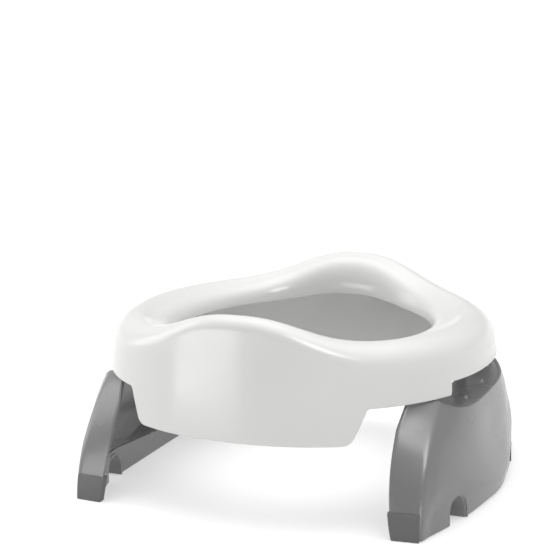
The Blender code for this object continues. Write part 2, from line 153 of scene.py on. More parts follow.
CREASE_Y = np.array([0, 12, 50, 78, 97, 115, 125, 135]) * MM
CREASE_Z = np.array([8, 10, 21, 30, 34, 30, 21, 10]) * MM
END_ROUND = 1.2 * MM
CREASE_PROUD = 1.5 * MM
CREASE_SLOPE = 0.2
CREASE_FADE = 26 * MM
CREASE_END_FADE = 0.12
SOFT_SPREAD = 7 * MM
SOFT_REACH = 8 * MM
LIP_PROUD = 1.2 * MM

FOOT_WALL_X = 130 * MM
FOOT_WALL_TURN_Y = 72 * MM
FOOT_WALL_PULL = 16 * MM
FOOT_WALL_END_Y = 125 * MM
FOOT_WALL_MID_Z = 17 * MM
FOOT_WALL_SIDE_Z = 23 * MM
FOOT_WALL = 2.2 * MM
TUNNEL_Y = 80 * MM
TUNNEL_RADIUS = 10.6 * MM
TUNNEL_CENTRE_Z = 7.8 * MM
SLEEVE_WALL = 2 * MM
SLEEVE_START_X = 126.5 * MM
SLEEVE_PROUD = 1 * MM
SLEEVE_SUNK = 1 * MM
TUNNEL_INTO_LEG = 50 * MM
TUNNEL_PAST_PANEL = 20 * MM
TUNNEL_LOW_Z = -5 * MM
NOTCH_ROUND = 0.9 * MM
ARM_X = (110 * MM, 117 * MM)
ARM_HEEL = 3.5 * MM
TOP_WALL_INNER_X = 114.6 * MM

CAP_TOP_Z = 19 * MM
CAP_SKIN = 1.3 * MM
CAP_SHARES = (-0.045, 0.8)
CAP_SKIN_SHARES = (0.7, 0.96)
CAP_SLOT_SHARES = (0.03, 1.3)
CAP_SLOT_PAST = 5 * MM
CAP_VOXEL = 0.45 * MM
CAP_SOFTENING = 6
STUD_RADIUS = 1.1 * MM
STUD_FOOT = 0.4 * MM
STUD_FLARE = 0.35 * MM

SIDES = {"left": -1, "right": 1}
ENDS = {"front": -1, "rear": 1}


# ---------------------------------------------------------------- mesh helpers


def make_object(name, points, faces):
    """A mesh object whose faces are turned to point outwards."""
    mesh = bpy.data.meshes.new(name)
    mesh.from_pydata([tuple(point) for point in points], [], [list(face) for face in faces])
    shape = bmesh.new()
    shape.from_mesh(mesh)
    bmesh.ops.recalc_face_normals(shape, faces=shape.faces)
    shape.to_mesh(mesh)
    shape.free()
    obj = bpy.data.objects.new(name, mesh)
    bpy.context.scene.collection.objects.link(obj)
    return obj


def apply_modifiers(obj):
    graph = bpy.context.evaluated_depsgraph_get()
    shaped = bpy.data.meshes.new_from_object(obj.evaluated_get(graph))
    obj.modifiers.clear()
    obj.data = shaped


def combine(obj, others, operation):
    """Joins or cuts the object with each of the others in turn, and removes them."""
    for other in others:
        modifier = obj.modifiers.new(operation.title(), "BOOLEAN")
        modifier.object = other
        modifier.operation = operation
        modifier.solver = "EXACT"
        apply_modifiers(obj)
        bpy.data.objects.remove(other, do_unlink=True)


def gather(obj, others):
    """Adds the meshes of the others to the object's own, and removes the others."""
    shape = bmesh.new()
    shape.from_mesh(obj.data)
    for other in others:
        shape.from_mesh(other.data)
        bpy.data.objects.remove(other, do_unlink=True)
    shape.to_mesh(obj.data)
    shape.free()


def melt(obj, voxel, passes):
    """Fuses overlapping closed shapes into one skin with soft fillets, as a mould leaves them."""
    remesh = obj.modifiers.new("Melt", "REMESH")
    remesh.mode = "VOXEL"
    remesh.voxel_size = voxel
    remesh.use_smooth_shade = True
    soften = obj.modifiers.new("Soften", "SMOOTH")
    soften.factor = 0.5
    soften.iterations = passes
    apply_modifiers(obj)
    obj.data.shade_smooth()


def smooth(obj, angle_deg=35):
    obj.data.shade_smooth()
    obj.data.set_sharp_from_angle(angle=math.radians(angle_deg))


def mirrored(obj, name):
    """A copy of the object on the other side of the seat, mirrored along X."""
    shape = bmesh.new()
    shape.from_mesh(obj.data)
    shape.transform(Matrix.Diagonal((-1, 1, 1, 1)))
    bmesh.ops.reverse_faces(shape, faces=shape.faces)
    mesh = bpy.data.meshes.new(name)
    shape.to_mesh(mesh)
    shape.free()
    copy = bpy.data.objects.new(name, mesh)
    bpy.context.scene.collection.objects.link(copy)
    smooth(copy)
    return copy


def unit(vectors):
    return vectors / np.linalg.norm(vectors, axis=-1, keepdims=True)


def along_rows(grid):
    """The step between neighbouring rows at each point of a grid of points."""
    return np.gradient(grid, axis=0)


def along_columns(grid, wraps):
    if not wraps:
        return np.gradient(grid, axis=1)
    return (np.roll(grid, -1, axis=1) - np.roll(grid, 1, axis=1)) / 2


def grid_normals(grid, wraps=False):
    return unit(np.cross(along_rows(grid), along_columns(grid, wraps)))


def grid_faces(rows, columns, wrap_rows=False, wrap_columns=False):
    """Quads between neighbouring points of a grid that is numbered row by row."""
    i = np.arange(rows if wrap_rows else rows - 1)
    j = np.arange(columns if wrap_columns else columns - 1)
    i, j = np.meshgrid(i, j, indexing="ij")
    i_next = (i + 1) % rows
    j_next = (j + 1) % columns
    quads = np.stack(
        [i * columns + j, i * columns + j_next, i_next * columns + j_next, i_next * columns + j], axis=-1
    )
    return quads.reshape(-1, 4)


def slab(name, first, second):
    """The closed solid between two open grids of points that have the same rows and columns."""
    rows, columns = first.shape[:2]
    faces = grid_faces(rows, columns).tolist()
    shift = rows * columns
    faces += [[shift + corner for corner in reversed(face)] for face in faces]
    border = [j for j in range(columns)]
    border += [i * columns + columns - 1 for i in range(1, rows)]
    border += [(rows - 1) * columns + j for j in range(columns - 2, -1, -1)]
    border += [i * columns for i in range(rows - 2, 0, -1)]
    for a, b in zip(border, border[1:] + border[:1]):
        faces.append([a, b, shift + b, shift + a])
    points = np.concatenate([first.reshape(-1, 3), second.reshape(-1, 3)])
    return make_object(name, points, faces)


def shell(name, outer, wall, facing):
    """A wall behind a grid of surface points, rounded along all four of its borders."""
    normals = grid_normals(outer)
    centre = tuple(size // 2 for size in outer.shape[:2])
    if normals[centre] @ np.array(facing) < 0:
        normals = -normals
    inner = outer - normals * wall
    up = np.array([0, 0, 1])
    top = rounded_edge(outer[-1], normals[-1], up, wall)
    bottom = rounded_edge(outer[0], normals[0], -up, wall)
    loop = np.array(list(outer) + top + list(inner[::-1]) + bottom[::-1])
    spine = (outer + inner) / 2
    spine = np.array(list(spine) + [spine[-1]] * len(top) + list(spine[::-1]) + [spine[0]] * len(bottom))
    columns = [loop]
    for place, beside, ahead in ((0, 1, True), (-1, -2, False)):
        push = unit(outer[:, place] - outer[:, beside]).mean(axis=0) * (1, 1, 0)
        turns = np.linspace(0, math.pi / 2, 6)[1:]
        for turn in turns:
            shrink = 1 - 2 * END_ROUND * (1 - math.cos(turn)) / wall
            ring = spine[:, place] + (loop[:, place] - spine[:, place]) * max(shrink, 0.1)
            ring = (ring + push * END_ROUND * math.sin(turn))[:, None]
            columns = [ring] + columns if ahead else columns + [ring]
    grid = np.concatenate(columns, axis=1)
    rows, count = grid.shape[:2]
    faces = grid_faces(rows, count, wrap_rows=True).tolist()
    faces.append([i * count for i in range(rows)])
    faces.append([i * count + count - 1 for i in range(rows)])
    return make_object(name, grid.reshape(-1, 3), faces)


def prism(name, outline, low, high):
    """Extrudes a flat outline of (x, z) points along Y."""
    rows = [(x, depth, z) for depth in (low, high) for x, z in outline]
    count = len(outline)
    faces = [[j, (j + 1) % count, count + (j + 1) % count, count + j] for j in range(count)]
    faces.append(list(range(count)))
    faces.append(list(range(count, 2 * count)))
    return make_object(name, rows, faces)


def arc(centre, radius, start_deg, end_deg, steps):
    """Points along an arc, as (first, second) coordinates."""
    points = []
    for step in range(steps + 1):
        angle = math.radians(start_deg + (end_deg - start_deg) * step / steps)
        points.append((centre[0] + radius * math.cos(angle), centre[1] + radius * math.sin(angle)))
    return points


def rounded_walk(corners, spacing, arc_steps=7):
    """Walks straight runs whose corners are rounded. A corner is (place, height, radius, crest place).

    Returns each point's place, height and crest place; the crest place follows the walked length.
    """
    places = [np.array(corner[:2]) for corner in corners]
    line = [places[0]]
    marks = [0]
    for before, here, after, corner in zip(places, places[1:], places[2:], corners[1:]):
        into = unit(here - before)
        out = unit(after - here)
        turn = math.acos(float(np.clip(into @ out, -1, 1)))
        reach = corner[2] * math.tan(turn / 2)
        start = here - into * reach
        stop = here + out * reach
        run = np.linalg.norm(start - line[-1])
        count = max(2, math.ceil(run / spacing))
        line += [line[-1] + (start - line[-1]) * step / count for step in range(1, count + 1)]
        centre = here + unit(out - into) * corner[2] / math.cos(turn / 2)
        for step in range(1, arc_steps + 1):
            share = step / arc_steps
            blend = unit((start - centre) * (1 - share) + (stop - centre) * share)
            line.append(centre + blend * corner[2])
            if step == arc_steps // 2:
                marks.append(len(line))
    run = np.linalg.norm(places[-1] - line[-1])
    count = max(2, math.ceil(run / spacing))
    line += [line[-1] + (places[-1] - line[-1]) * step / count for step in range(1, count + 1)]
    marks.append(len(line) - 1)
    line = np.array(line)
    walked = np.concatenate([[0], np.cumsum(np.linalg.norm(np.diff(line, axis=0), axis=1))])
    crest = np.interp(walked, walked[marks], [corner[3] for corner in corners])
    return line[:, 0], line[:, 1], crest


def smoothstep(share):
    share = np.clip(share, 0, 1)
    return share * share * (3 - 2 * share)


# ---------------------------------------------------------------- seat


def superellipse(angle, half_x, half_y, power):
    cosine = np.cos(angle)
    sine = np.sin(angle)
    x = half_x * np.sign(cosine) * np.abs(cosine) ** (2 / power)
    y = half_y * np.sign(sine) * np.abs(sine) ** (2 / power)
    return np.stack([x, y, np.zeros_like(x)], axis=-1)


def rim_quarter():
    """Angles along a quarter of the rim, from the rear hump to the right end.

    With each angle go the length walked to it and its x.
    """
    angles = np.linspace(math.pi / 2, 0, 4001)
    points = superellipse(angles, RIM_HALF_X, RIM_HALF_Y, RIM_POWER)
    steps = np.linalg.norm(np.diff(points, axis=0), axis=1)
    return angles, np.concatenate([[0], np.cumsum(steps)]), points[:, 0]


def skirt_edge(walk_of_x, whole):
    """The skirt's lower edge on a quarter of the rim, just inside its rounding."""
    deep_place = walk_of_x(DEEP_HALF_X)
    slant_place = walk_of_x(SLANT_END_X)
    step_place = walk_of_x(STEP_X) - EDGE_ROUND
    deep_z, shelf_z, end_z = (z + EDGE_ROUND for z in (DEEP_Z, SHELF_Z, END_Z))
    corners = [
        (0, deep_z, 0, 0),
        (deep_place - EDGE_ROUND, deep_z, DEEP_CORNER, deep_place + DEEP_CREST),
        (slant_place - EDGE_ROUND, shelf_z, SHELF_CORNER, slant_place + SLANT_CREST),
        (step_place, shelf_z, STEP_CORNER, step_place + STEP_CREST),
        (step_place + STEP_RUN, end_z, END_CORNER, step_place + END_CREST),
        (whole, end_z, 0, whole),
    ]
    return rounded_walk(corners, EDGE_SPACING)


def seat_grid():
    """The seat's outer surface: rows from the skirt's lower edge up, over the crest and down to the hole."""
    angles, walked, rim_xs = rim_quarter()
    whole = walked[-1]
    edge_place, edge_z, crest_place = skirt_edge(lambda x: float(np.interp(x, rim_xs, walked)), whole)
    crest_angle = np.interp(crest_place, walked, angles)
    outer = superellipse(crest_angle, RIM_HALF_X, RIM_HALF_Y, RIM_POWER)
    hole = superellipse(crest_angle, HOLE_HALF_X, HOLE_HALF_Y, HOLE_POWER)
    width = np.linalg.norm(hole - outer, axis=1)
    inward = unit(hole - outer)
    end_fade = np.minimum(np.abs(outer[:, 1]) / (HUMP_END_FADE * RIM_HALF_Y), 1)
    hump = np.exp(-np.abs(outer[:, 0] / HUMP_HALF_WIDTH) ** HUMP_POWER) * end_fade
    crest_z = RIM_Z + HUMP_RISE * hump
    roll = np.minimum(RIM_ROLL + (HUMP_ROLL - RIM_ROLL) * hump, width / 2)
    hole_roll = np.minimum(HOLE_ROLL, width / 2 - 0.1 * MM)
    flat = width - roll - hole_roll
    inner_z = crest_z - INWARD_SLOPE * flat
    lip_z = HOLE_LIP_Z + HOLE_LIP_RISE * hump + EDGE_ROUND
    lean = math.atan(SKIRT_DRAFT)
    top_z = crest_z - roll * (1 - math.sin(lean))
    rows = []
    for rise in NEAR_EDGE:
        rows.append((edge_z + rise, rise / (top_z - edge_z)))
    for share in np.linspace(0, 1, SKIRT_ROWS)[1:]:
        z = edge_z + NEAR_EDGE[-1] + (top_z - edge_z - NEAR_EDGE[-1]) * share
        rows.append((z, (z - edge_z) / (top_z - edge_z)))
    bead_start = edge_place[0] + np.interp(STEP_X, rim_xs, walked) + BEAD_START
    grid = []
    for z, share in rows:
        place = edge_place + (crest_place - edge_place) * share
        point = superellipse(np.interp(place, walked, angles), RIM_HALF_X, RIM_HALF_Y, RIM_POWER)
        past_step = smoothstep((place - bead_start) / BEAD_RUN_IN)
        bead = BEAD * past_step * smoothstep((END_Z + BEAD_HEIGHT - z) / BEAD_FADE)
        flare = 1 + SKIRT_DRAFT * (RIM_Z - z) / RIM_HALF_X + bead / RIM_HALF_X
        point = point * flare[:, None]
        point[:, 2] = z
        grid.append(point)
    skirt_rows = len(grid)
    excess = SKIRT_DRAFT * (RIM_Z - top_z) + roll * (1 - math.cos(lean))
    for turn in np.linspace(lean, math.pi / 2, ROLL_ROWS)[1:]:
        run = (roll + excess) * (1 - math.cos(turn)) - excess
        z = crest_z - roll * (1 - math.sin(turn))
        grid.append(outer + inward * run[:, None] + z[:, None] * np.array([0, 0, 1]))
    for share in np.linspace(0, 1, SADDLE_ROWS)[1:-1]:
        run = roll + flat * share
        z = crest_z + (inner_z - crest_z) * share
        grid.append(outer + inward * run[:, None] + z[:, None] * np.array([0, 0, 1]))
    for turn in np.linspace(0, math.pi / 2, LIP_ROWS):
        run = width - hole_roll * (1 - math.sin(turn))
        z = lip_z + (inner_z - lip_z) * math.cos(turn)
        grid.append(outer + inward * run[:, None] + z[:, None] * np.array([0, 0, 1]))
    grid = np.array(grid)
    for _ in range(SOFTENING_PASSES):
        middle = (grid[skirt_rows - 2 : -2] + 2 * grid[skirt_rows - 1 : -1] + grid[skirt_rows:]) / 4
        grid[skirt_rows - 1 : -1] = middle
    return grid


def four_quarters(grid):
    """Mirrors a grid over the rear right quarter into a closed ring."""
    turned = grid[:, ::-1]
    parts = [grid, turned * (1, -1, 1), grid * (-1, -1, 1), turned * (-1, 1, 1)]
    return np.concatenate([part[:, :-1] for part in parts], axis=1)


def rounded_edge(start, normal, outward, wall, steps=4):
    """Rows that carry a wall's skin round its edge, from the outer face to the inner one."""
    rows = []
    for step in range(1, steps + 1):
        turn = math.pi / 2 * step / steps
        rows.append(start + EDGE_ROUND * (normal * (math.cos(turn) - 1) + outward * math.sin(turn)))
    for step in range(steps):
        turn = math.pi / 2 * (1 - step / steps)
        across = EDGE_ROUND * (1 - math.cos(turn)) - wall
        rows.append(start + normal * across + outward * EDGE_ROUND * math.sin(turn))
    return rows


def bracket(y_range, side, end):
    """One moulded ear of the seat, which follows the rolled rim above it."""
    middle_y = sum(y_range) / 2
    rim_x = RIM_HALF_X * (1 - (middle_y / RIM_HALF_Y) ** RIM_POWER) ** (1 / RIM_POWER)
    outline = arc((HINGE.x, HINGE.z), BRACKET_RADIUS, 180, 360, 24)
    outline += arc((rim_x - RIM_ROLL, RIM_Z - RIM_ROLL), RIM_ROLL - SEAT_WALL / 2, 0, 90, 12)
    outline.append((HINGE.x - BRACKET_RADIUS, RIM_Z - SEAT_WALL / 2))
    outline = [(side * x, z) for x, z in outline]
    low, high = sorted(end * y for y in y_range)
    return prism("bracket", outline, low, high)


def make_seat():
    outer = four_quarters(seat_grid())
    normals = grid_normals(outer, wraps=True)
    if normals[0, 0] @ outer[0, 0] < 0:
        normals = -normals
    inner = outer - normals * SEAT_WALL
    along = along_columns(outer, wraps=True)[0]
    edge_out = unit(np.cross(along, normals[0]))
    edge_out *= np.sign(np.sum(edge_out * (outer[0] - outer[3]), axis=1, keepdims=True))
    hole_out = unit(outer[-1] - outer[-2])
    lip = rounded_edge(outer[-1], normals[-1], hole_out, SEAT_WALL)
    edge = rounded_edge(outer[0], normals[0], edge_out, SEAT_WALL)
    loop = list(outer) + lip + list(inner[::-1]) + edge[::-1]
    loop = np.array(loop)
    faces = grid_faces(len(loop), loop.shape[1], wrap_rows=True, wrap_columns=True)
    seat = make_object("seat_moulding", loop.reshape(-1, 3), faces.tolist())
    plates = [
        bracket(y_range, side, end)
        for side in SIDES.values()
        for end in ENDS.values()
        for y_range in BRACKETS_Y
    ]
    gather(plates[0], plates[1:])
    combine(seat, [plates[0]], "UNION")
    smooth(seat, 40)
    return seat


# ---------------------------------------------------------------- legs


def leg_top_z(across):
    """Height of the leg's top edge; across runs from -1 at the front corner to 1 at the rear one."""
    return LEG_MID_TOP_Z + LEG_HORN_RISE * np.minimum(np.abs(across), 1) ** 4


def corner_half_y(z):
    return FOOT_HALF_Y - CORNER_SWEEP * z * z


def edge_half_y(z):
    return FOOT_EDGE_HALF_Y - EDGE_SWEEP * z * z


def corner_x(z):
    return CORNER_X - CORNER_LEAN * (z / SHELF_Z) ** 2


def edge_x(z):
    climb = 1 - np.minimum(z / TUCK_Z, 1)
    return EDGE_X - EDGE_TUCK * (1 - climb**2) + EDGE_RETURN * np.maximum(z - EDGE_RETURN_Z, 0)


def soft_curve(places, values, at):
    """Reads a smooth curve through a short table, by averaging straight-line readings around each place."""
    spread = np.linspace(-1, 1, 9) * SOFT_SPREAD
    weights = 1 - np.abs(spread) / SOFT_REACH
    readings = [np.interp(at + shift, places, values) * weight for shift, weight in zip(spread, weights)]
    return sum(readings) / weights.sum()


def crease_rise(y, z):
    """How far the panel stands out round its arched crease: a ridge that falls off below and above."""
    crease_z = soft_curve(CREASE_Y, CREASE_Z, np.abs(y))
    below = CREASE_PROUD - CREASE_SLOPE * (crease_z - z)
    above = CREASE_PROUD * (1 - smoothstep((z - crease_z) / CREASE_FADE))
    return np.maximum(np.where(z < crease_z, below, above), -CREASE_PROUD)


def panel_point(across, z):
    """Points of the leg's bulged outer panel."""
    middle = soft_curve(BULGE_Z, BULGE_X, z)
    y = across * corner_half_y(z)
    low, high = PANEL_POWER_Z
    power = PANEL_POWERS[0] + (PANEL_POWERS[1] - PANEL_POWERS[0]) * np.clip((z - low) / (high - low), 0, 1)
    x = middle - (middle - corner_x(z)) * np.abs(across) ** power
    rise = crease_rise(y, z) * smoothstep((1 - np.abs(across)) / CREASE_END_FADE)
    return np.stack([x + rise, y, z], axis=-1)


def side_point(end, share, z, outward=0.0):
    """Points of the leg's front or rear side panel, from its inner edge (0) to its corner (1)."""
    start = np.stack([edge_x(z), end * edge_half_y(z), z], axis=-1)
    stop = np.stack([corner_x(z), end * corner_half_y(z), z], axis=-1)
    run = stop - start
    normal = np.stack([run[..., 1], -run[..., 0], np.zeros_like(z)], axis=-1) * -end
    return start + run * np.asarray(share)[..., None] + unit(normal) * outward


def leg_grid():
    """The leg's outer surface: rows from the sole up, columns from one side panel round to the other."""
    share_up = np.linspace(0, 1, LEG_ROWS)[:, None]
    low = LEG_SOLE_Z + EDGE_ROUND
    horn = low + (leg_top_z(1) - EDGE_ROUND - low) * share_up
    side_length = CORNER_X - EDGE_X
    side_shares = np.linspace(END_ROUND, side_length - CORNER_BEND, SIDE_COLUMNS)[None, :] / side_length
    side = side_point(-1, side_shares + 0 * horn, horn + 0 * side_shares)
    inset = 1 - CORNER_BEND / FOOT_HALF_Y
    across = np.linspace(-inset, inset, PANEL_COLUMNS)[None, :]
    z = low + (leg_top_z(across) - EDGE_ROUND - low) * share_up
    panel = panel_point(across + 0 * z, z)
    corner = side_point(-1, np.ones_like(horn), horn)
    shares = np.linspace(0, 1, BEND_COLUMNS)[1:-1][None, :, None]
    bend = side[:, -1:] * (1 - shares) ** 2 + corner * 2 * shares * (1 - shares) + panel[:, :1] * shares**2
    front = np.concatenate([side, bend], axis=1)
    rear = front[:, ::-1] * (1, -1, 1)
    return np.concatenate([front, panel, rear], axis=1)


def u_outline(radius, low_z, steps=24):
    """A tunnel's outline in the YZ plane: straight sides and a round top."""
    outline = arc((TUNNEL_Y, TUNNEL_CENTRE_Z), radius, 0, 180, steps)
    return [(TUNNEL_Y + radius, low_z)] + outline + [(TUNNEL_Y - radius, low_z)]


def foot_wall():
    """The curved wall on the inner side of the foot."""
    y = np.linspace(-FOOT_WALL_END_Y, FOOT_WALL_END_Y, 120)[None, :]
    past = np.maximum(np.abs(y) - FOOT_WALL_TURN_Y, 0) / (FOOT_WALL_END_Y - FOOT_WALL_TURN_Y)
    x = FOOT_WALL_X - FOOT_WALL - FOOT_WALL_PULL * past**2
    rise = np.minimum(np.abs(y) / FOOT_WALL_TURN_Y, 1)
    top = FOOT_WALL_MID_Z + (FOOT_WALL_SIDE_Z - FOOT_WALL_MID_Z) * rise
    low = LEG_SOLE_Z + EDGE_ROUND
    z = low + (top - EDGE_ROUND - low) * np.linspace(0, 1, 8)[:, None]
    outer = np.stack([x + 0 * z, y + 0 * z, z], axis=-1)
    return shell("foot_wall", outer, FOOT_WALL, (-1, 0, 0))


def top_wall():
    """The scooped wall that closes the leg under the seat's end, a little below the lip."""
    across = np.linspace(-0.985, 0.985, 90)
    z = leg_top_z(across) - LIP_PROUD
    lip = panel_point(across, z)
    shares = np.linspace(0, 1, 20)[:, None, None]
    start = np.stack([np.full_like(z, TOP_WALL_INNER_X), lip[:, 1] * 1.02, z], axis=-1)
    stop = lip - np.array([LEG_WALL / 2, 0, 0])
    top = start + (stop - start) * shares
    return slab("top_wall", top, top - np.array([0, 0, LEG_WALL]))


def arm(end):
    """An arm up from the top wall and the ear that turns on the hinge pin."""
    foot_z = leg_top_z(EAR_Y[0] / corner_half_y(LEG_MID_TOP_Z)) - 3 * MM
    outline = [(ARM_X[1], foot_z)]
    outline += arc((HINGE.x, HINGE.z), EAR_RADIUS, -125, 90, 30)
    outline += [(ARM_X[0] + 3.5 * MM, HINGE.z + EAR_RADIUS - 3 * MM), (ARM_X[0], HINGE.z)]
    outline += [(ARM_X[0], foot_z + ARM_HEEL), (ARM_X[0] + ARM_HEEL, foot_z)]
    low, high = sorted(end * y for y in EAR_Y)
    shape = prism("arm", outline, low, high)
    bore = arc((HINGE.x, HINGE.z), PIN_RADIUS + TOUCH_GAP, 0, 350, 35)
    combine(shape, [prism("bore", bore, low - CUT_MARGIN, high + CUT_MARGIN)], "DIFFERENCE")
    return shape


def sleeve(end):
    """The wall round a tunnel. It stands proud of the panel only on the side towards the leg's middle."""
    grids = []
    for radius in (TUNNEL_RADIUS + SLEEVE_WALL, TUNNEL_RADIUS - SLEEVE_WALL):
        y, z = np.array(u_outline(radius, LEG_SOLE_Z)).T
        start = np.stack([np.full_like(y, SLEEVE_START_X), end * y, z], axis=-1)
        inner_side = np.clip((TUNNEL_Y - y) / TUNNEL_RADIUS, 0, 1)
        stop = panel_point(end * y / corner_half_y(z), z)
        stop[:, 0] += (SLEEVE_PROUD + SLEEVE_SUNK) * inner_side - SLEEVE_SUNK
        grids.append(np.array([start, stop]))
    return slab("sleeve", *grids)


def tunnel(end):
    """What is cut out for a tunnel, with a rounded mouth where it meets the outer panel."""
    rows = []
    mouth = [(-TUNNEL_INTO_LEG, 0)]
    for turn in np.linspace(0, math.pi / 2, 7):
        mouth.append((-NOTCH_ROUND * math.cos(turn), NOTCH_ROUND * (1 - math.sin(math.pi / 2 - turn))))
    mouth.append((TUNNEL_PAST_PANEL, NOTCH_ROUND))
    for depth, widening in mouth:
        y, z = np.array(u_outline(TUNNEL_RADIUS + widening, TUNNEL_LOW_Z)).T
        row = panel_point(end * y / corner_half_y(z), np.maximum(z, 0))
        rows.append(np.stack([row[:, 0] + depth, end * y, z], axis=-1))
    count = len(rows[0])
    faces = grid_faces(len(rows), count, wrap_columns=True).tolist()
    faces.append(list(range(count)))
    faces.append([(len(rows) - 1) * count + step for step in range(count)])
    return make_object("tunnel", np.concatenate(rows), faces)


def make_right_leg():
    leg = shell("right_leg_moulding", leg_grid(), LEG_WALL, (1, 0, 0))
    parts = [foot_wall(), top_wall()]
    parts += [part(end) for part in (sleeve, arm) for end in ENDS.values()]
    combine(leg, parts, "UNION")
    combine(leg, [tunnel(end) for end in ENDS.values()], "DIFFERENCE")
    smooth(leg, 32)
    return leg


def side_strip(name, end, skin, depth, low_z, high_z, ends):
    """A strip that follows a side panel: skin outside it, depth inside it, from low_z to high_z."""
    z = np.linspace(low_z, high_z, 16)[:, None]
    shares = np.linspace(ends[0], ends[1], 24)[None, :]
    z, shares = z + 0 * shares, shares + 0 * z
    return slab(name, side_point(end, shares, z, skin), side_point(end, shares, z, -depth))


def make_foot_cap(end_name):
    """A rubber shoe that slips over the toe of a side panel."""
    end = ENDS[end_name]
    slot = TOUCH_GAP
    depth = LEG_WALL + CAP_SKIN + slot
    slot_top = CAP_TOP_Z + CAP_SLOT_PAST
    cap = side_strip(f"right_{end_name}_shoe", end, CAP_SKIN, depth, 0, CAP_TOP_Z, CAP_SHARES)
    skin = side_strip("skin", end, CAP_SKIN, -slot, 0, CAP_TOP_Z, CAP_SKIN_SHARES)
    cut = side_strip("slot", end, slot, LEG_WALL + slot, LEG_SOLE_Z - slot, slot_top, CAP_SLOT_SHARES)
    combine(cap, [cut], "DIFFERENCE")
    gather(cap, [skin])
    melt(cap, CAP_VOXEL, CAP_SOFTENING)
    low = min(vertex.co.z for vertex in cap.data.vertices)
    for vertex in cap.data.vertices:
        vertex.co.z = max(vertex.co.z - low, 0)
    return cap


def turned(name, profile, place, axis="Z", segments=48):
    """A turned piece: its profile is (radius, height) points from its foot to its tip, on the axis."""
    points = []
    for radius, height in profile:
        for step in range(segments):
            angle = 2 * math.pi * step / segments
            flat = (radius * math.cos(angle), radius * math.sin(angle))
            if axis == "Z":
                offset = Vector((*flat, height))
            else:
                offset = Vector((flat[0], height, flat[1]))
            points.append(place + offset)
    faces = grid_faces(len(profile), segments, wrap_columns=True).tolist()
    faces.append(list(range(segments)))
    faces.append([(len(profile) - 1) * segments + step for step in range(segments)])
    return make_object(name, points, faces)


def make_stud(node, body, name):
    """A domed bumper stud in the place of its CAD solid, standing on the leg's top wall."""
    low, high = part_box(node)
    middle = (low + high) / 2
    foot = Vector((middle.x, middle.y, low.z - TOUCH_GAP - LIP_PROUD - STUD_FOOT))
    height = high.z - foot.z
    profile = [(STUD_RADIUS + STUD_FLARE, 0), (STUD_RADIUS + STUD_FLARE * 6 / 7, height * 0.25)]
    profile.append((STUD_RADIUS, height * 0.5))
    for step in range(1, 9):
        turn = math.pi / 2 * step / 8
        profile.append((STUD_RADIUS * max(math.cos(turn), 0.02), height * (0.5 + 0.5 * math.sin(turn))))
    stud = turned(name, profile, foot)
    smooth(stud, 50)
    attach(stud, body)
    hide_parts(node)
    return stud


def make_pin(side_name, end_name):
    """A headed steel hinge pin, with its head towards the middle of the seat."""
    end = ENDS[end_name]
    place = Vector((SIDES[side_name] * HINGE.x, 0, HINGE.z))
    start = BRACKETS_Y[0][0] - TOUCH_GAP
    stop = BRACKETS_Y[1][1] + TOUCH_GAP + PIN_CAP - PIN_CAP_END
    head = [(0.4 * PIN_HEAD_RADIUS, start - PIN_HEAD)]
    head += [(PIN_HEAD_RADIUS * math.sin(turn), start - PIN_HEAD * (0.45 + 0.55 * math.cos(turn)))
             for turn in np.linspace(0.5, math.pi / 2, 6)]
    head += [(PIN_HEAD_RADIUS, start), (PIN_RADIUS, start)]
    profile = head + [(PIN_RADIUS, stop - PIN_CHAMFER), (PIN_RADIUS - PIN_CHAMFER, stop)]
    name = f"{side_name}_{end_name}_pin"
    pin = turned(name, [(radius, end * height) for radius, height in profile], place, "Y")
    smooth(pin, 35)
    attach(pin, "seat")
    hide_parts(f"{side_name}_{end_name}_hinge_pin")
    return pin


def make_pin_cap(side_name, end_name):
    """A push-on cap over the pin's tip."""
    end = ENDS[end_name]
    place = Vector((SIDES[side_name] * HINGE.x, 0, HINGE.z))
    start = BRACKETS_Y[1][1] + TOUCH_GAP
    bore = PIN_RADIUS + TOUCH_GAP
    floor = start + PIN_CAP - PIN_CAP_END + TOUCH_GAP / 2
    profile = [
        (0.2 * MM, floor),
        (bore, floor),
        (bore, start + PIN_CHAMFER),
        (bore + PIN_CHAMFER, start),
        (PIN_HEAD_RADIUS - PIN_CHAMFER, start),
        (PIN_HEAD_RADIUS, start + PIN_CHAMFER),
        (PIN_HEAD_RADIUS, start + PIN_CAP - 0.6 * MM),
        (PIN_HEAD_RADIUS - 0.5 * MM, start + PIN_CAP - 0.1 * MM),
        (0.2 * MM, start + PIN_CAP),
    ]
    name = f"{side_name}_{end_name}_push_cap"
    cap = turned(name, [(radius, end * height) for radius, height in profile], place, "Y")
    smooth(cap, 35)
    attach(cap, "seat")
    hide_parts(f"{side_name}_{end_name}_pin_cap")
    return cap


# ---------------------------------------------------------------- materials

# Each plastic: its colour, the deeper colour it clouds into, its roughness range, the scale and the strength
# of its grain, and its specular level.
PLASTICS = {
    "white_plastic_finish": ((0.655, 0.655, 0.645), (0.635, 0.635, 0.625), (0.14, 0.24), 260, 0.03, 0.5),
    "grey_plastic_finish": ((0.185, 0.185, 0.187), (0.172, 0.172, 0.174), (0.2, 0.3), 260, 0.05, 0.5),
    "shoe_rubber_finish": ((0.13, 0.13, 0.133), (0.115, 0.115, 0.118), (0.5, 0.65), 300, 0.2, 0.35),
    "stud_rubber_finish": ((0.55, 0.55, 0.55), (0.5, 0.5, 0.5), (0.4, 0.5), 300, 0.1, 0.5),
}


def new_material(name):
    material = bpy.data.materials.new(name)
    material.use_nodes = True
    nodes = material.node_tree.nodes
    return material, nodes, material.node_tree.links, nodes["Principled BSDF"]


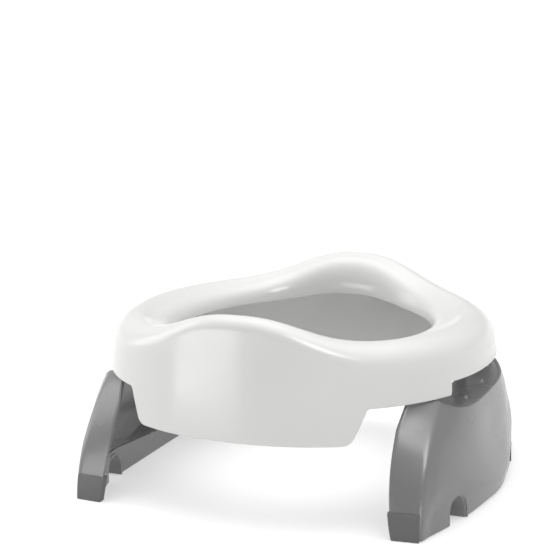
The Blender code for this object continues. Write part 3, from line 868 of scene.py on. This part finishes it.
def noise(nodes, links, coordinates, scale, detail):
    node = nodes.new("ShaderNodeTexNoise")
    node.inputs["Scale"].default_value = scale
    node.inputs["Detail"].default_value = detail
    links.new(coordinates, node.inputs["Vector"])
    return node.outputs["Fac"]


def ramp(nodes, links, source, low, high):
    """Maps 0.3..0.7 of a noise to a range of values."""
    node = nodes.new("ShaderNodeMapRange")
    node.clamp = False
    node.inputs["From Min"].default_value = 0.3
    node.inputs["From Max"].default_value = 0.7
    node.inputs["To Min"].default_value = low
    node.inputs["To Max"].default_value = high
    links.new(source, node.inputs["Value"])
    return node.outputs["Result"]


def colour_mix(nodes, links, source, first, second):
    node = nodes.new("ShaderNodeMix")
    node.data_type = "RGBA"
    node.clamp_factor = False
    node.inputs["A"].default_value = (*first, 1)
    node.inputs["B"].default_value = (*second, 1)
    links.new(source, node.inputs["Factor"])
    return node.outputs["Result"]


def bump(nodes, links, shader, layers):
    """Stacks bump nodes; a layer is (height source, strength, distance in metres)."""
    normal = None
    for source, strength, distance in layers:
        node = nodes.new("ShaderNodeBump")
        node.inputs["Strength"].default_value = strength
        node.inputs["Distance"].default_value = distance
        links.new(source, node.inputs["Height"])
        if normal:
            links.new(normal, node.inputs["Normal"])
        normal = node.outputs["Normal"]
    links.new(normal, shader.inputs["Normal"])


def plastic(name, colour, deeper, roughness, grain_scale, grain, specular):
    """Moulded plastic: a faint cloud in its colour, uneven polish, flow waviness and a fine skin grain."""
    material, nodes, links, shader = new_material(name)
    position = nodes.new("ShaderNodeTexCoord").outputs["Object"]
    cloud = noise(nodes, links, position, 14, 2)
    grains = noise(nodes, links, position, grain_scale, 2)
    wave = noise(nodes, links, position, 22, 1)
    polish = noise(nodes, links, position, 24, 1)
    tint = colour_mix(nodes, links, ramp(nodes, links, cloud, 0, 1), colour, deeper)
    links.new(tint, shader.inputs["Base Color"])
    links.new(ramp(nodes, links, polish, roughness[0], roughness[1]), shader.inputs["Roughness"])
    shader.inputs["Specular IOR Level"].default_value = specular
    bump(nodes, links, shader, [(wave, 0.12, 0.4 * MM), (grains, grain, 0.03 * MM)])
    return material


def steel():
    material, nodes, links, shader = new_material("pin_steel_finish")
    position = nodes.new("ShaderNodeTexCoord").outputs["Object"]
    stretch = nodes.new("ShaderNodeMapping")
    stretch.inputs["Scale"].default_value = (1, 40, 1)
    links.new(position, stretch.inputs["Vector"])
    streaks = noise(nodes, links, stretch.outputs["Vector"], 300, 3)
    tint = colour_mix(nodes, links, streaks, (0.52, 0.52, 0.53), (0.68, 0.68, 0.68))
    links.new(tint, shader.inputs["Base Color"])
    links.new(ramp(nodes, links, streaks, 0.22, 0.38), shader.inputs["Roughness"])
    shader.inputs["Metallic"].default_value = 1
    bump(nodes, links, shader, [(streaks, 0.2, 0.02 * MM)])
    return material


def floor_material():
    material, nodes, links, shader = new_material("pale_floor")
    position = nodes.new("ShaderNodeTexCoord").outputs["Object"]
    cloud = noise(nodes, links, position, 1.2, 3)
    tint = colour_mix(nodes, links, cloud, (0.5, 0.5, 0.5), (0.53, 0.53, 0.53))
    links.new(tint, shader.inputs["Base Color"])
    shader.inputs["Roughness"].default_value = 0.9
    shader.inputs["Specular IOR Level"].default_value = 0.1
    shader.inputs["Emission Color"].default_value = (1, 1, 1, 1)
    shader.inputs["Emission Strength"].default_value = FLOOR_GLOW
    return material


# ---------------------------------------------------------------- stage

CAMERA_AZIMUTH = 21.83
CAMERA_ELEVATION = 11.22
CAMERA_ROLL = -0.52
CAMERA_DISTANCE = 1.19419
AIM = Vector((-0.0269, 0.0079, 0.1474))
FRAME_SHIFT = 0.0082
LENS = 99.9
SENSOR = 36
VIEW_END = 200

TENT_FRONT = 0.04
TENT_SIDES = 0.62
TENT_SIDE_POWER = 1.3
TENT_TOP = 4.4
TENT_TOP_POWER = 6
TENT_BACK = 0.3
FLOOR_GLOW = 0.45
FLOOR_FLAT = 40
FLOOR_RISE = 5
FLOOR_SIDES = 96

# Each light: its name, its place, what it aims at, its width, its height and its power.
KEY = ("key", (-1.8, -0.1, 0.8), (0, 0, 0.1), 1.0, 1.2, 8)
GLOSS_LIGHTS = (
    ("panel_band", (-0.3, -0.5, 0.11), (-0.02, -0.14, 0.1), 0.34, 0.2, 0.75),
    ("rim_glint", (0.65, -0.6, 0.95), (0.05, -0.1, 0.12), 0.4, 0.4, 3.6),
)
LEG_GLOSS_LIGHT = ("corner_line", (0.45, -0.5, 0.07), (0.13, -0.12, 0.05), 0.05, 0.14, 0.5)


def make_camera():
    azimuth = math.radians(CAMERA_AZIMUTH)
    elevation = math.radians(CAMERA_ELEVATION)
    back = Vector((math.sin(azimuth) * math.cos(elevation), -math.cos(azimuth) * math.cos(elevation),
                   math.sin(elevation)))
    right = Vector((math.cos(azimuth), math.sin(azimuth), 0))
    up = back.cross(right)
    roll = math.radians(CAMERA_ROLL)
    rolled_right = right * math.cos(roll) + up * math.sin(roll)
    rolled_up = up * math.cos(roll) - right * math.sin(roll)
    turn = Matrix((rolled_right, rolled_up, back)).transposed()
    camera = bpy.data.objects.new("camera", bpy.data.cameras.new("camera"))
    camera.data.lens = LENS
    camera.data.sensor_width = SENSOR
    camera.data.shift_y = FRAME_SHIFT
    camera.data.clip_end = VIEW_END
    camera.matrix_world = Matrix.Translation(AIM + back * CAMERA_DISTANCE) @ turn.to_4x4()
    bpy.context.scene.collection.objects.link(camera)
    bpy.context.scene.camera = camera


def make_floor():
    """A wide round floor whose far edge turns up a little, so that no gap shows along the horizon."""
    angles = np.linspace(0, 2 * math.pi, FLOOR_SIDES, endpoint=False)
    rings = [(FLOOR_FLAT, 0)]
    rings += [(FLOOR_FLAT * (1 + share / 2), FLOOR_RISE * share**2) for share in np.linspace(0.1, 1, 10)]
    circle = [(math.cos(angle), math.sin(angle)) for angle in angles]
    points = [(radius * x, radius * y, z) for radius, z in rings for x, y in circle]
    faces = grid_faces(len(rings), FLOOR_SIDES, wrap_columns=True).tolist()
    faces.append(list(range(FLOOR_SIDES)))
    floor = make_object("floor", points, faces)
    floor.data.materials.append(floor_material())


def make_softbox(name, place, aim, width, height, power, in_gloss_only=False):
    light = bpy.data.lights.new(name, "AREA")
    light.shape = "RECTANGLE"
    light.size = width
    light.size_y = height
    light.energy = power
    obj = bpy.data.objects.new(name, light)
    obj.location = place
    obj.rotation_euler = (Vector(aim) - Vector(place)).to_track_quat("-Z", "Y").to_euler()
    obj.visible_diffuse = not in_gloss_only
    bpy.context.scene.collection.objects.link(obj)
    return obj


def shine_only_on(light, pieces):
    """Keeps a light to a few pieces, through light linking."""
    lit = bpy.data.collections.new(light.name + "_lit")
    for piece in pieces:
        lit.objects.link(piece)
    light.light_linking.receiver_collection = lit


def math_node(nodes, links, operation, first, second):
    node = nodes.new("ShaderNodeMath")
    node.operation = operation
    for socket, value in zip(node.inputs, (first, second)):
        if isinstance(value, (int, float)):
            socket.default_value = value
        else:
            links.new(value, socket)
    return node.outputs["Value"]


def make_world():
    """A white tent: dim in front, brighter to both sides and behind, brightest overhead."""
    world = bpy.data.worlds.new("studio")
    world.use_nodes = True
    nodes = world.node_tree.nodes
    links = world.node_tree.links
    background = nodes["Background"]
    split = nodes.new("ShaderNodeSeparateXYZ")
    links.new(nodes.new("ShaderNodeTexCoord").outputs["Generated"], split.inputs["Vector"])
    sideways = math_node(nodes, links, "ABSOLUTE", split.outputs["X"], 0)
    sideways = math_node(nodes, links, "POWER", sideways, TENT_SIDE_POWER)
    overhead = math_node(nodes, links, "MAXIMUM", split.outputs["Z"], 0)
    strength = math_node(nodes, links, "MULTIPLY_ADD", sideways, TENT_SIDES)
    strength.node.inputs[2].default_value = TENT_FRONT
    overhead = math_node(nodes, links, "POWER", overhead, TENT_TOP_POWER)
    overhead = math_node(nodes, links, "MULTIPLY", overhead, TENT_TOP)
    behind = math_node(nodes, links, "MAXIMUM", split.outputs["Y"], 0)
    behind = math_node(nodes, links, "MULTIPLY", behind, TENT_BACK)
    total = math_node(nodes, links, "ADD", strength, overhead)
    total = math_node(nodes, links, "ADD", total, behind)
    background.inputs["Color"].default_value = (1, 1, 1, 1)
    links.new(total, background.inputs["Strength"])
    bpy.context.scene.world = world


def build():
    make_camera()
    make_floor()
    make_world()
    make_softbox(*KEY)
    for light in GLOSS_LIGHTS:
        make_softbox(*light, in_gloss_only=True)
    corner_line = make_softbox(*LEG_GLOSS_LIGHT, in_gloss_only=True)
    white, grey, shoe, pale = (plastic(name, *look) for name, look in PLASTICS.items())
    metal = steel()
    seat = make_seat()
    seat.data.materials.append(white)
    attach(seat, "seat")
    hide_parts("seat_shell")
    right_leg = make_right_leg()
    legs = {"right": right_leg, "left": mirrored(right_leg, "left_leg_moulding")}
    shine_only_on(corner_line, list(legs.values()))
    right_caps = {end_name: make_foot_cap(end_name) for end_name in ENDS}
    for side_name, leg in legs.items():
        body = f"leg_{side_name}"
        leg.data.materials.append(grey)
        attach(leg, body)
        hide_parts(f"{side_name}_leg")
        for end_name in ENDS:
            cap = right_caps[end_name]
            if side_name == "left":
                cap = mirrored(cap, f"left_{end_name}_shoe")
            cap.data.materials.append(shoe)
            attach(cap, body)
            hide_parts(f"{side_name}_{end_name}_foot_cap")
            make_pin(side_name, end_name).data.materials.append(metal)
            make_pin_cap(side_name, end_name).data.materials.append(grey)
            for index in (1, 2):
                node = f"{side_name}_{end_name}_bumper_stud_{index}"
                make_stud(node, body, f"{side_name}_{end_name}_stud_{index}").data.materials.append(pale)


build()
bpy.context.scene.view_settings.view_transform = "Standard"
